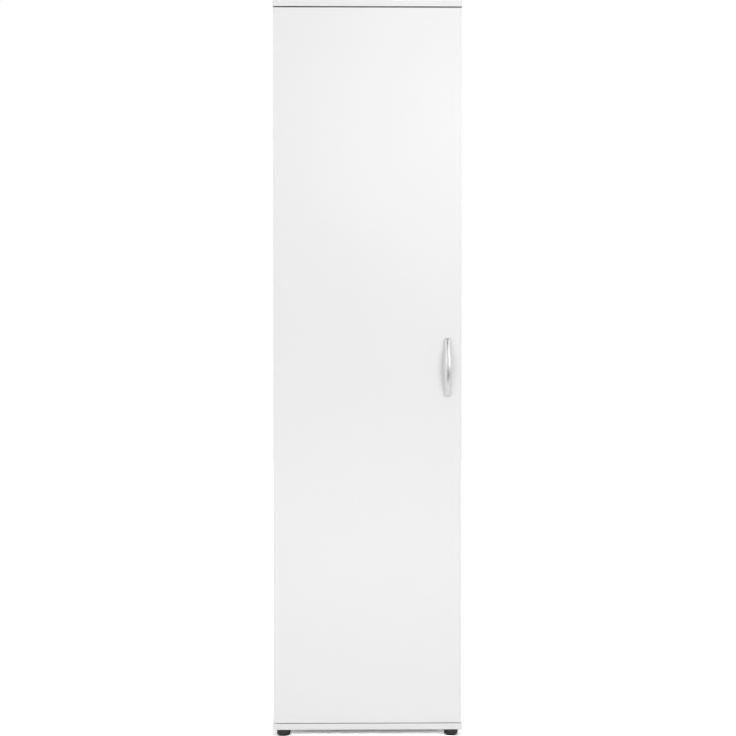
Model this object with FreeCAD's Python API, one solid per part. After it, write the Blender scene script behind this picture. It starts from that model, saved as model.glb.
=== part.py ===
import FreeCAD, Part
import os

# A tall, narrow broom cupboard with one full-height door, in white melamine-faced chipboard,
# joined with screwed plastic blocks and hung on concealed cup hinges.
# Millimetres. The origin is the bottom centre of the bounding box, handle included.
# +Z is up. The door faces -Y and hangs on the left, at -X.

V = FreeCAD.Vector
ALONG_X = V(1, 0, 0)
ALONG_Y = V(0, 1, 0)
ALONG_Z = V(0, 0, 1)
LEFT, RIGHT = -1, 1

# ---------------------------------------------------------------- driving dimensions
# Overall
WIDTH = 500.0
DEPTH = 400.0                 # door face to the rear of the back panel
HEIGHT = 1950.0

# Boards
BOARD = 16.0                  # every chipboard panel but the door
DOOR_BOARD = 16.0
BACK_BOARD = 3.0
BACK_INSET = 2.0              # back panel edge inside the carcass outline
EDGE_ROUND = 1.0              # rounded arris of the visible edging

# Door
GAP_ABOVE_DOOR = 3.0
GAP_BELOW_DOOR = 2.0
SIDE_INSET = 1.5              # ends of the top and bottom panels to the sides and the door
DOOR_STANDOFF = 2.0           # closed door to the front edges of the sides

# Interior
HAT_SPACE = 342.0             # clear height above the fixed hat shelf
HAT_SHELF_SETBACK = 10.0      # behind the front edges of the sides
BROOM_BAY = 234.5             # clear width of the bay on the hinge side
DIVIDER_SETBACK = 10.0
SHELF_COUNT = 4               # adjustable shelves in the narrow bay
SHELF_SETBACK = 22.0
SHELF_SIDE_GAP = 0.5
SHELF_REAR_GAP = 1.0
HOLE_PITCH = 32.0             # steps at which the shelves can be set

# Plastic supports nailed to the walls under the adjustable shelves
SUPPORT_REACH = 12.0
SUPPORT_DROP = 15.0
SUPPORT_WIDTH = 18.0
SUPPORT_SETBACK = 50.0        # front and rear edges of the walls to their middles

# Plastic blocks screwed into the corners where two boards meet
BLOCK_LEG = 20.0
BLOCK_NOSE = 8.0              # narrow faces, before the sloping one
BLOCK_LENGTH = 36.0
BLOCK_SETBACK = 62.0          # front and rear edges of the sides to their middles

# Feet
FOOT_HEIGHT = 20.0
FOOT_RADIUS = 18.5
FOOT_BASE_RADIUS = 12.0
FOOT_WALL = 12.5              # upright part of the foot's side, below the panel
FOOT_SIDE_INSET = 27.5        # end of the bottom panel to the foot's axis
FOOT_END_INSET = 30.0         # front and rear edge of the bottom panel to the axis

# Bow handle
HANDLE_PROJECTION = 27.0
HANDLE_LENGTH = 156.0
HANDLE_HEIGHT = 981.0         # floor to its middle
HANDLE_INSET = 36.5           # free edge of the door to its centre line
HANDLE_WIDTH = 21.0           # at the middle
HANDLE_END_WIDTH = 18.0
HANDLE_THICKNESS = 9.0        # at the middle of the bow
HANDLE_END_RISE = 5.0         # height of the blunt ends above the door
HANDLE_FOOT = 26.0            # length of each foot on the door
HANDLE_CORNER = 5.0           # bevel at the corners of its outline, seen from the front
HANDLE_BEVEL = 3.0            # bevel along its front edges

# Door bumpers
BUMPER_SIZE = 9.0
BUMPER_CLEARANCE = 0.2
BUMPER_INSET = 60.0           # from the ends of the right side panel

# Wall brackets
BRACKET_INSET = 80.0          # ends of the top panel to the brackets' middles
BRACKET_WIDTH = 20.0
BRACKET_LEG = 34.0
BRACKET_SHEET = 2.0
BRACKET_HOLE_RADIUS = 3.0
BRACKET_HOLE_DROP = 22.0      # from the outside of the bend to the hole

# Cup hinges, seen from above: x runs inwards from the inner face of the left side panel,
# y runs rearwards from its front edge
HINGE_COUNT = 3
HINGE_END = 100.0             # door end to the nearest hinge
CUP_RADIUS = 17.5
CUP_DEPTH = 12.6
CUP_FIT = 0.1                 # clearance of the cup in its bore
CUP_WALL = 1.0
CUP_FLOOR = 0.6
CUP_TAB = 4.5                 # edge of the door to the cup
FLANGE_SHEET = 1.0
FLANGE_LENGTH = 62.0
FLANGE_WIDTH = 17.0
FLANGE_OFFSET = 6.0           # cup centre to the middle of the screw flange
LINK_SHEET = 1.2
LAYER_GAP = 0.4               # between neighbouring links and walls along the pins
INNER_LINK_WIDTH = 8.4
INNER_LINK_HALF = 1.4         # half the thickness of the inner link's bar
INNER_LINK_BOW = 1.9
OUTER_LINK_HALF = 1.6         # half the width of an outer link's curved strip
OUTER_LINK_BOW = 8.8
PIVOT_RADIUS = 1.25
PIVOT_FIT = 0.05              # running clearance on the pins
EYE_RADIUS = 2.4
EAR_RADIUS = 2.9
ARM_PIVOT_OUTER = (13.7, 5.5)
ARM_PIVOT_INNER = (15.0, -9.0)
CUP_PIVOT_OUTER = (-12.0, 2.6)    # from the cup's centre, and below the door's inner face
CUP_PIVOT_INNER = (-9.5, 8.6)
ARM_REAR = 62.0
ARM_BASE = 4.0                # underside of the arm above the side panel
ARM_NECK = 12.0               # where the arm's flanks begin to narrow to the front
ARM_WEB_FRONT = -2.0
PLATE_SCREW_ROW = 37.0
PLATE_FRONT = 16.0
PLATE_REAR = 58.0
PLATE_WING_LENGTH = 46.0
PLATE_WING_WIDTH = 14.0
PLATE_SHEET = 2.5
PLATE_CLEARANCE = 0.1         # between the block and the arm's flanks

# ---------------------------------------------------------------- derived places
HALF_WIDTH = WIDTH / 2
OUTER_X = HALF_WIDTH - SIDE_INSET   # outer faces of the sides, and edges of the door
INNER_X = OUTER_X - BOARD
FRONT_Y = (HANDLE_PROJECTION - DEPTH) / 2
REAR_Y = FRONT_Y + DEPTH
CARCASS_REAR_Y = REAR_Y - BACK_BOARD
DOOR_INNER_Y = FRONT_Y + DOOR_BOARD
SIDE_FRONT_Y = DOOR_INNER_Y + DOOR_STANDOFF

SIDE_Z0 = FOOT_HEIGHT + BOARD
SIDE_Z1 = HEIGHT - BOARD
DOOR_Z0 = SIDE_Z0 + GAP_BELOW_DOOR
DOOR_Z1 = SIDE_Z1 - GAP_ABOVE_DOOR
HAT_SHELF_Z0 = SIDE_Z1 - HAT_SPACE - BOARD
DIVIDER_X = BROOM_BAY - INNER_X
NARROW_X0 = DIVIDER_X + BOARD
HANDLE_X = OUTER_X - HANDLE_INSET

CUP_X = CUP_TAB + CUP_RADIUS - BOARD
PIVOT_A = ARM_PIVOT_OUTER
PIVOT_B = ARM_PIVOT_INNER
PIVOT_C = (CUP_X + CUP_PIVOT_OUTER[0], -DOOR_STANDOFF - CUP_PIVOT_OUTER[1])
PIVOT_D = (CUP_X + CUP_PIVOT_INNER[0], -DOOR_STANDOFF - CUP_PIVOT_INNER[1])

# Layers of the hinge along its pins, as distances from its middle plane
INNER_LINK_Z = INNER_LINK_WIDTH / 2
EAR_Z = INNER_LINK_Z + LAYER_GAP
CHEEK_Z = EAR_Z + LINK_SHEET + LAYER_GAP
CAVITY_Z = CHEEK_Z + LINK_SHEET + LAYER_GAP
WEB_X = max(PIVOT_A[0], PIVOT_B[0]) + EAR_RADIUS


# ---------------------------------------------------------------- basic shapes
def slab(x0, x1, y0, y1, z0, z1):
    """A box between its lowest and highest corners."""
    return Part.makeBox(x1 - x0, y1 - y0, z1 - z0, V(x0, y0, z0))


def rod(radius, start, direction, length):
    return Part.makeCylinder(radius, length, start, direction)


def prism(corners, way):
    """A closed outline of straight lines, drawn out along a vector."""
    return Part.Face(Part.makePolygon(corners + corners[:1])).extrude(way)


def outline(pieces):
    """A closed wire: each piece is a line's two ends, or an arc's start, middle and end."""
    edges = []
    for piece in pieces:
        if len(piece) == 2:
            edges.append(Part.makeLine(piece[0], piece[1]))
        else:
            edges.append(Part.Arc(piece[0], piece[1], piece[2]).toShape())
    return Part.Wire(edges)


def front_edges(shape, limit):
    """The edges whose ends all lie in front of a plane y = limit."""
    return [edge for edge in shape.Edges if all(vertex.Y < limit for vertex in edge.Vertexes)]


def round_front(board):
    """Round every edge of a board's front face."""
    return board.makeFillet(EDGE_ROUND, front_edges(board, board.BoundBox.YMin + EDGE_ROUND))


def save(name, solids):
    shape = solids[0] if len(solids) == 1 else Part.makeCompound(solids)
    shape.exportStep("parts/" + name + ".step")


# ---------------------------------------------------------------- where the fittings sit
def shelf_levels():
    """Undersides of the adjustable shelves, each on a step of the pitch."""
    clear = HAT_SHELF_Z0 - SIDE_Z0
    steps = [round(clear * (i + 1) / (SHELF_COUNT + 1) / HOLE_PITCH) for i in range(SHELF_COUNT)]
    return [SIDE_Z0 + step * HOLE_PITCH for step in steps]


def wall_rows(setback):
    """The front and rear Y of fittings that are set back equally from a wall's two edges."""
    return (SIDE_FRONT_Y + setback, CARCASS_REAR_Y - setback)


def foot_places():
    x = HALF_WIDTH - FOOT_SIDE_INSET
    return [(side * x, y)
            for side in (LEFT, RIGHT)
            for y in (FRONT_Y + FOOT_END_INSET, CARCASS_REAR_Y - FOOT_END_INSET)]


def bracket_places():
    """X and Z of the wall brackets' holes."""
    return [(side * (HALF_WIDTH - BRACKET_INSET), SIDE_Z1 - BRACKET_HOLE_DROP) for side in (LEFT, RIGHT)]


def hinge_levels():
    first = DOOR_Z0 + HINGE_END
    last = DOOR_Z1 - HINGE_END
    return [first + (last - first) * i / (HINGE_COUNT - 1) for i in range(HINGE_COUNT)]


# ---------------------------------------------------------------- boards
def top_panel():
    return round_front(slab(-HALF_WIDTH, HALF_WIDTH, FRONT_Y, CARCASS_REAR_Y, SIDE_Z1, HEIGHT))


def bottom_panel():
    return round_front(slab(-HALF_WIDTH, HALF_WIDTH, FRONT_Y, CARCASS_REAR_Y, FOOT_HEIGHT, SIDE_Z0))


def side_panel(side):
    x0, x1 = sorted((side * INNER_X, side * OUTER_X))
    return slab(x0, x1, SIDE_FRONT_Y, CARCASS_REAR_Y, SIDE_Z0, SIDE_Z1)


def back_panel():
    half = HALF_WIDTH - BACK_INSET
    sheet = slab(-half, half, CARCASS_REAR_Y, REAR_Y, FOOT_HEIGHT + BACK_INSET, HEIGHT - BACK_INSET)
    return sheet.cut([rod(BRACKET_HOLE_RADIUS, V(x, CARCASS_REAR_Y, z), ALONG_Y, BACK_BOARD)
                      for x, z in bracket_places()])


def hat_shelf():
    front = SIDE_FRONT_Y + HAT_SHELF_SETBACK
    return slab(-INNER_X, INNER_X, front, CARCASS_REAR_Y, HAT_SHELF_Z0, HAT_SHELF_Z0 + BOARD)


def centre_divider():
    front = SIDE_FRONT_Y + DIVIDER_SETBACK
    return slab(DIVIDER_X, NARROW_X0, front, CARCASS_REAR_Y, SIDE_Z0, HAT_SHELF_Z0)


def narrow_shelf(level):
    front = SIDE_FRONT_Y + SHELF_SETBACK
    rear = CARCASS_REAR_Y - SHELF_REAR_GAP
    return slab(NARROW_X0 + SHELF_SIDE_GAP, INNER_X - SHELF_SIDE_GAP, front, rear, level, level + BOARD)


def door_panel():
    """The door, bored on its inner face for the hinges' cups."""
    board = slab(-OUTER_X, OUTER_X, FRONT_Y, DOOR_INNER_Y, DOOR_Z0, DOOR_Z1)
    mouths = [hinge_point((CUP_X, -DOOR_STANDOFF), level) for level in hinge_levels()]
    return round_front(board).cut([rod(CUP_RADIUS + CUP_FIT, mouth, ALONG_Y * -1, CUP_DEPTH + CUP_FIT)
                                   for mouth in mouths])


# ---------------------------------------------------------------- fittings of the carcass
def joint_block(x, side, z, way, y):
    """A block in the corner of a wall's face at x and a board's face at z; side and way lead out."""
    across, up = ALONG_X * side, ALONG_Z * way
    corner = V(x, y - BLOCK_LENGTH / 2, z)
    return prism([corner, corner + across * BLOCK_LEG, corner + across * BLOCK_LEG + up * BLOCK_NOSE,
                  corner + across * BLOCK_NOSE + up * BLOCK_LEG, corner + up * BLOCK_LEG],
                 ALONG_Y * BLOCK_LENGTH)


def joint_blocks():
    """Blocks inside both ends of the sides, under the hat shelf and at both ends of the divider."""
    corners = [(side * INNER_X, -side, z, way)
               for side in (LEFT, RIGHT)
               for z, way in ((SIDE_Z0, 1), (SIDE_Z1, -1), (HAT_SHELF_Z0, -1))]
    corners += [(NARROW_X0, 1, SIDE_Z0, 1), (NARROW_X0, 1, HAT_SHELF_Z0, -1)]
    return [joint_block(*corner, y) for corner in corners for y in wall_rows(BLOCK_SETBACK)]


def shelf_support(wall_x, side, y, z):
    """A wedge on a wall under a shelf; side leads away from the wall."""
    top = V(wall_x, y - SUPPORT_WIDTH / 2, z)
    return prism([top, top + ALONG_X * side * SUPPORT_REACH, top - ALONG_Z * SUPPORT_DROP],
                 ALONG_Y * SUPPORT_WIDTH)


def shelf_supports():
    return [shelf_support(wall_x, side, y, level)
            for wall_x, side in ((NARROW_X0, 1), (INNER_X, -1))
            for level in shelf_levels()
            for y in wall_rows(SUPPORT_SETBACK)]


def foot(x, y):
    """A turned foot: an upright side that tapers in to the base."""
    shoulder = FOOT_HEIGHT - FOOT_WALL
    corners = [V(0, 0, 0), V(FOOT_BASE_RADIUS, 0, 0), V(FOOT_RADIUS, 0, shoulder),
               V(FOOT_RADIUS, 0, FOOT_HEIGHT), V(0, 0, FOOT_HEIGHT)]
    body = Part.Face(Part.makePolygon(corners + corners[:1])).revolve(V(0, 0, 0), ALONG_Z, 360)
    body.translate(V(x, y, 0))
    return body


def bumper(z):
    """A square felt pad on the free side's front edge, just clear of the closed door."""
    x, half = OUTER_X - BOARD / 2, BUMPER_SIZE / 2
    return slab(x - half, x + half, DOOR_INNER_Y + BUMPER_CLEARANCE, SIDE_FRONT_Y, z - half, z + half)


def wall_bracket(x, hole_z):
    """A bent steel angle under the top panel, holed for the screw into the wall."""
    start = V(x - BRACKET_WIDTH / 2, CARCASS_REAR_Y, SIDE_Z1)
    front, down = ALONG_Y * -BRACKET_LEG, ALONG_Z * -BRACKET_LEG
    across, below = ALONG_Y * -BRACKET_SHEET, ALONG_Z * -BRACKET_SHEET
    angle = prism([start, start + front, start + front + below, start + across + below,
                   start + across + down, start + down], ALONG_X * BRACKET_WIDTH)
    return angle.cut(rod(BRACKET_HOLE_RADIUS, V(x, CARCASS_REAR_Y, hole_z), ALONG_Y * -1, BRACKET_SHEET))


# ---------------------------------------------------------------- handle
def bow_from_the_side():
    """The bow's outline on the plane x = 0: flat feet on y = 0 and an arched bar between them."""
    half = HANDLE_LENGTH / 2
    foot_end = half - HANDLE_FOOT
    low, high = V(0, -HANDLE_END_RISE, -half), V(0, -HANDLE_END_RISE, half)
    return outline([
        (V(0, 0, -foot_end), V(0, HANDLE_THICKNESS - HANDLE_PROJECTION, 0), V(0, 0, foot_end)),
        (V(0, 0, foot_end), V(0, 0, half)),
        (V(0, 0, half), high),
        (high, V(0, -HANDLE_PROJECTION, 0), low),
        (low, V(0, 0, -half)),
        (V(0, 0, -half), V(0, 0, -foot_end))])


def bow_from_the_front():
    """The bow's outline on the plane y = 0: widest at its middle, bevelled at its corners."""
    half = HANDLE_LENGTH / 2
    end, middle = HANDLE_END_WIDTH / 2, HANDLE_WIDTH / 2
    short, narrow = half - HANDLE_CORNER, end - HANDLE_CORNER
    return outline([
        (V(-end, 0, -short), V(-middle, 0, 0), V(-end, 0, short)),
        (V(-end, 0, short), V(-narrow, 0, half)),
        (V(-narrow, 0, half), V(narrow, 0, half)),
        (V(narrow, 0, half), V(end, 0, short)),
        (V(end, 0, short), V(middle, 0, 0), V(end, 0, -short)),
        (V(end, 0, -short), V(narrow, 0, -half)),
        (V(narrow, 0, -half), V(-narrow, 0, -half)),
        (V(-narrow, 0, -half), V(-end, 0, -short))])


def bow_handle():
    """The two outlines drawn out across each other, with the front edges bevelled."""
    bar = Part.Face(bow_from_the_side()).extrude(ALONG_X * HANDLE_WIDTH)
    bar.translate(ALONG_X * (-HANDLE_WIDTH / 2))
    column = Part.Face(bow_from_the_front()).extrude(ALONG_Y * (-2 * HANDLE_PROJECTION))
    bow = bar.common(column)
    bow = bow.makeChamfer(HANDLE_BEVEL, front_edges(bow, -HANDLE_END_RISE / 2))
    bow.translate(V(HANDLE_X, FRONT_Y, HANDLE_HEIGHT))
    return bow


# ---------------------------------------------------------------- cup hinges
def hinge_point(place, z):
    """A point given from the side panel's front inner corner, in the cupboard's frame."""
    return V(place[0] - INNER_X, place[1] + SIDE_FRONT_Y, z)


def pivot_rod(place, level, reach, radius):
    """A rod on a pivot's axis that reaches equally far above and below the hinge's middle plane."""
    return rod(radius, hinge_point(place, level - reach), ALONG_Z, 2 * reach)


def hinge_plate(wire, z0, z1):
    """A flat plate: a closed outline in the hinge's plane, raised from z0 to z1."""
    face = Part.Face(wire)
    face.translate(hinge_point((0, 0), z0))
    return face.extrude(ALONG_Z * (z1 - z0))


def curved_strip(start, end, bow, half_width):
    """A strip of constant width along an arc, which bows out to the right of the way to its end."""
    a, b = V(start[0], start[1], 0), V(end[0], end[1], 0)
    chord = b - a
    right = V(chord.y, -chord.x, 0).normalize()
    radius = (chord.Length ** 2 / 4 + bow ** 2) / (2 * bow)
    centre = (a + b) / 2 + right * (bow - radius)

    def beside(point, offset):
        return centre + (point - centre).normalize() * (radius + offset)

    way = (a, centre + right * radius, b)
    outer = [beside(point, half_width) for point in way]
    inner = [beside(point, -half_width) for point in reversed(way)]
    return outline([outer, (outer[-1], inner[0]), inner, (inner[-1], outer[0])])


def hinge_cup(level):
    """A cup with its screw flange; a stub pin in each of its two bosses carries the outer link."""
    mouth = hinge_point((CUP_X, -DOOR_STANDOFF), level)
    shell = rod(CUP_RADIUS, mouth, ALONG_Y * -1, CUP_DEPTH)
    rim = rod(CUP_RADIUS + CUP_WALL, mouth, ALONG_Y, FLANGE_SHEET)
    x0 = mouth.x + FLANGE_OFFSET - FLANGE_WIDTH / 2
    flange = slab(x0, x0 + FLANGE_WIDTH, mouth.y, mouth.y + FLANGE_SHEET,
                  level - FLANGE_LENGTH / 2, level + FLANGE_LENGTH / 2)
    floor = mouth - ALONG_Y * (CUP_DEPTH - CUP_FLOOR)
    hollow = rod(CUP_RADIUS - CUP_WALL, floor, ALONG_Y, CUP_DEPTH - CUP_FLOOR + FLANGE_SHEET)
    between_bosses = slab(mouth.x - CUP_RADIUS, mouth.x + CUP_RADIUS, floor.y, mouth.y + FLANGE_SHEET,
                          level - CAVITY_Z, level + CAVITY_Z)
    cup = shell.fuse([rim, flange]).removeSplitter().cut(hollow.common(between_bosses))
    inner_end = CHEEK_Z - LAYER_GAP / 2
    stubs = [rod(PIVOT_RADIUS, hinge_point(PIVOT_C, level + side * inner_end), ALONG_Z * side,
                 CAVITY_Z + PIVOT_RADIUS - inner_end) for side in (LEFT, RIGHT)]
    return cup.fuse(stubs)


def outer_link(level):
    """The outer link's two crescent cheeks, which reach round the rim of the open cup."""
    cheeks = []
    for side in (LEFT, RIGHT):
        z0, z1 = sorted((level + side * CHEEK_Z, level + side * (CHEEK_Z + LINK_SHEET)))
        strip = hinge_plate(curved_strip(PIVOT_C, PIVOT_A, OUTER_LINK_BOW, OUTER_LINK_HALF), z0, z1)
        eyes = [rod(EYE_RADIUS, hinge_point(pivot, z0), ALONG_Z, LINK_SHEET) for pivot in (PIVOT_A, PIVOT_C)]
        bores = [pivot_rod(pivot, level, CAVITY_Z, PIVOT_RADIUS + PIVOT_FIT) for pivot in (PIVOT_A, PIVOT_C)]
        cheeks.append(strip.fuse(eyes).removeSplitter().cut(bores))
    return cheeks


def inner_link(level):
    """The inner link: a bowed bar with an eye for the arm's pin and a solid knuckle in the cup."""
    bar = hinge_plate(curved_strip(PIVOT_D, PIVOT_B, INNER_LINK_BOW, INNER_LINK_HALF),
                      level - INNER_LINK_Z, level + INNER_LINK_Z)
    ends = [pivot_rod(pivot, level, INNER_LINK_Z, EYE_RADIUS) for pivot in (PIVOT_B, PIVOT_D)]
    bore = pivot_rod(PIVOT_B, level, CAVITY_Z, PIVOT_RADIUS + PIVOT_FIT)
    return bar.fuse(ends).removeSplitter().cut(bore)


def hinge_arm(level):
    """A channel over the mounting plate; its flanks end in two ears with a pin for each link."""
    a, b = PIVOT_A, PIVOT_B
    top = WEB_X + LINK_SHEET
    places = [(ARM_BASE, ARM_REAR), (top, ARM_REAR), (top, ARM_WEB_FRONT), (b[0] + EAR_RADIUS, b[1]),
              (b[0] - EAR_RADIUS, b[1]), (a[0] - EAR_RADIUS, a[1]), (ARM_BASE, ARM_NECK)]
    corners = [V(x, y, 0) for x, y in places]
    outer = EAR_Z + LINK_SHEET
    body = hinge_plate(Part.makePolygon(corners + corners[:1]), level - outer, level + outer)
    body = body.fuse(pivot_rod(b, level, outer, EAR_RADIUS))
    tip = hinge_point((0, b[1] - EAR_RADIUS), level)
    web = hinge_point((WEB_X, ARM_WEB_FRONT), level)
    channel = slab(tip.x, web.x, tip.y, tip.y + 2 * ARM_REAR, level - EAR_Z, level + EAR_Z)
    gate = slab(tip.x, web.x + 2 * LINK_SHEET, tip.y, web.y, level - EAR_Z, level + EAR_Z)
    outer_link_pin = pivot_rod(a, level, CHEEK_Z + LINK_SHEET + LAYER_GAP / 2, PIVOT_RADIUS)
    inner_link_pin = pivot_rod(b, level, EAR_Z + LINK_SHEET / 2, PIVOT_RADIUS)
    return body.cut([channel, gate]).fuse([outer_link_pin, inner_link_pin])


def mounting_plate(level):
    """The plate screwed to the side panel, with the block that carries the arm."""
    half = EAR_Z - PLATE_CLEARANCE
    start = hinge_point((0, PLATE_FRONT), level)
    block = slab(start.x, start.x + WEB_X, start.y, start.y + PLATE_REAR - PLATE_FRONT,
                 level - half, level + half)
    row = hinge_point((0, PLATE_SCREW_ROW), level)
    wing = slab(row.x, row.x + PLATE_SHEET, row.y - PLATE_WING_WIDTH / 2, row.y + PLATE_WING_WIDTH / 2,
                level - PLATE_WING_LENGTH / 2, level + PLATE_WING_LENGTH / 2)
    return block.fuse(wing)


# ---------------------------------------------------------------- the cupboard
def save_boards():
    save("top_panel", [top_panel()])
    save("bottom_panel", [bottom_panel()])
    save("left_side_panel", [side_panel(LEFT)])
    save("right_side_panel", [side_panel(RIGHT)])
    save("back_panel", [back_panel()])
    save("hat_shelf", [hat_shelf()])
    save("centre_divider", [centre_divider()])
    save("door_panel", [door_panel()])
    for number, level in enumerate(shelf_levels(), 1):
        save("narrow_shelf_%d" % number, [narrow_shelf(level)])


def save_fittings():
    save("joint_blocks", joint_blocks())
    save("shelf_supports", shelf_supports())
    save("feet", [foot(x, y) for x, y in foot_places()])
    save("door_bumpers", [bumper(z) for z in (SIDE_Z0 + BUMPER_INSET, SIDE_Z1 - BUMPER_INSET)])
    for name, (x, hole_z) in zip(("left_wall_bracket", "right_wall_bracket"), bracket_places()):
        save(name, [wall_bracket(x, hole_z)])
    save("bow_handle", [bow_handle()])


def save_hinges():
    levels = hinge_levels()
    save("hinge_cups", [hinge_cup(level) for level in levels])
    save("outer_links", [cheek for level in levels for cheek in outer_link(level)])
    save("inner_links", [inner_link(level) for level in levels])
    save("hinge_arms", [hinge_arm(level) for level in levels])
    for number, level in enumerate(levels, 1):
        save("mounting_plate_%d" % number, [mounting_plate(level)])


os.makedirs("parts", exist_ok=True)
save_boards()
save_fittings()
save_hinges()
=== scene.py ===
import math

import bmesh
import bpy
from mathutils import Matrix, Vector


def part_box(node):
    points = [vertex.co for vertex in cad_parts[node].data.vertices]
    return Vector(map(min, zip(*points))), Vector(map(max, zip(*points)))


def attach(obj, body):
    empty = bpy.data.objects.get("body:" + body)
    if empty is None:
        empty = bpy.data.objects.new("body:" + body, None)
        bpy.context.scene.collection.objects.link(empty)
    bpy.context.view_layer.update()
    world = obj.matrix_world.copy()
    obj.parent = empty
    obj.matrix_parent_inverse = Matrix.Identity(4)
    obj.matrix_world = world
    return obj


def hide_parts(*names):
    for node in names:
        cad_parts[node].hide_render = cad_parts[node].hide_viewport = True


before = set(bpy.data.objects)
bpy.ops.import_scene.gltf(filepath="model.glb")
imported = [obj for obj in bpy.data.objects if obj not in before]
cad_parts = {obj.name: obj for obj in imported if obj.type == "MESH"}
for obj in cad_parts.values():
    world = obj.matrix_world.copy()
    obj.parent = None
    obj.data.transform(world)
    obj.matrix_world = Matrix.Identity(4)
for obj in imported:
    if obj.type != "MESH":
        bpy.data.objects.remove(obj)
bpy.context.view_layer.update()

# A white one-door broom cupboard. Metres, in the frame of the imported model: x runs to the right,
# y to the rear and z up.
MM = 0.001
LEFT, RIGHT = -1, 1
DOWN_AND_UP = (-1, 1)
RIGHTWARDS, REARWARDS, UP = Vector((1, 0, 0)), Vector((0, 1, 0)), Vector((0, 0, 1))

# ---------------------------------------------------------------- places taken from the frame
DOOR_LOW, DOOR_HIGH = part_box("door_panel")
BACK_LOW, BACK_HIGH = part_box("back_panel")
HANDLE_LOW, HANDLE_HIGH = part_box("bow_handle")
FEET_LOW, FEET_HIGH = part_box("feet")
TOP_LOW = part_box("top_panel")[0]
BOTTOM_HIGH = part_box("bottom_panel")[1]
PLATE_NODES = sorted(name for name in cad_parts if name.startswith("mounting_plate"))
SHELF_NODES = sorted(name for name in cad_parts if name.startswith("narrow_shelf"))
BRACKET_NODES = ("left_wall_bracket", "right_wall_bracket")

# ---------------------------------------------------------------- camera
CAMERA_DISTANCE = 5.0             # from the door's face
CAMERA_X = -0.0769
CAMERA_Z = 1.0304
CAMERA_YAW = math.radians(0.8951)
CAMERA_PITCH = math.radians(-0.5907)
CAMERA_ROLL = math.radians(-0.01)
FOCAL_PIXELS = 1890.26
FRAME_PIXELS = 736
SENSOR_MM = 36.0

# ---------------------------------------------------------------- light
WORLD_LIGHT = 0.596               # all round
SKY_LIGHT = 1.20                  # from above the front
SKY_WAY = (0.0, -0.34, 0.94)
SKY_EDGE = (0.70, 0.87)           # cosines of the angles over which the sky fades in
WALL_SHEEN = 0.88                 # the studio's walls as metal and gloss mirror them
# Panels that only reflections show: ranges of a direction's x and z, and the panel's share of
# the walls' sheen
SHEEN_PANELS = (((0.34, 0.80), (0.02, 0.66), 1.85),
                ((-0.72, -0.48), (0.02, 0.62), 1.55),
                ((-0.36, 0.0), (0.54, 0.95), 0.25),
                ((0.06, 0.60), (0.70, 0.98), 0.72))
PANEL_SOFT = 0.06
# Area lamps: place, target, width, height, watts, and spread in degrees. A narrow spread throws
# a soft pool of light.
LAMPS = {
    "right_softbox": ((1.5, -2.9, 2.2), (0.0, -0.19, 1.3), 1.6, 2.0, 33.0, 180),
    "left_softbox": ((-1.8, -3.2, 2.1), (0.0, -0.19, 1.3), 1.6, 1.6, 17.5, 180),
    "upper_pool": ((0.9, -2.3, 1.84), (0.24, -0.19, 1.66), 0.4, 0.4, 0.185, 34),
    "lower_pool": ((-0.2, -2.7, 0.50), (-0.06, -0.19, 0.49), 0.9, 0.3, 0.12, 25),
}

# ---------------------------------------------------------------- floor
FLOOR_SIZE = 24.0
FLOOR_WHITE = 0.74
FLOOR_MOTTLE = 0.01
FLOOR_ROUGHNESS = 0.9
FLOOR_SPECULAR = 0.1
FLOOR_END = (-2.3, -3.3)          # y over which the pale floor ends in front
FLOOR_END_TONE = 0.16
# Painted light: as the camera sees it, the floor looks a few times lighter than its light makes
# it, a little more near the cupboard and more still under it, where the cupboard's shadow falls.
FLOOR_PAINTED_LIGHT = (2.0, 1.8)           # how many times lighter, near and far
FLOOR_NEAR = (0.1, 0.8)           # distances from the cupboard that are near and far
FLOOR_BELOW = ((-0.225, 0.225), (-0.26, 0.185))   # x and y where it is painted lighter still
FLOOR_BELOW_SOFT = 0.015
FLOOR_BELOW_PAINTED_LIGHT = 2.05
FLOOR_FRONT = (-0.103, -0.146)    # y over which the painted light grows strongest, under the front edge
FLOOR_FRONT_PAINTED_LIGHT = 1.7
FLOOR_GLOW = 0.06
# Painted reflection: only as reflections show it does the floor have a dark part in front, and
# get lighter farther out.
MIRRORED_END = (-1.35, -1.85)     # y over which the dark part begins
MIRRORED_LEFT = (-1.8, -1.0)      # x over which it begins from the left
MIRRORED_RIGHT = (4.8, 3.4)       # and from the right
MIRRORED_SHARE = 0.36             # its level against the rest
MIRRORED_NEAR = (-0.9, -1.8)      # y over which the level rises
MIRRORED_LEVELS = (1.08, 1.42)    # from near the cupboard to farther out


# ---------------------------------------------------------------- shader nodes
MIX_FIRST, MIX_SECOND, MIX_RESULT = 6, 7, 2     # the Mix node's sockets for colours


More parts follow.
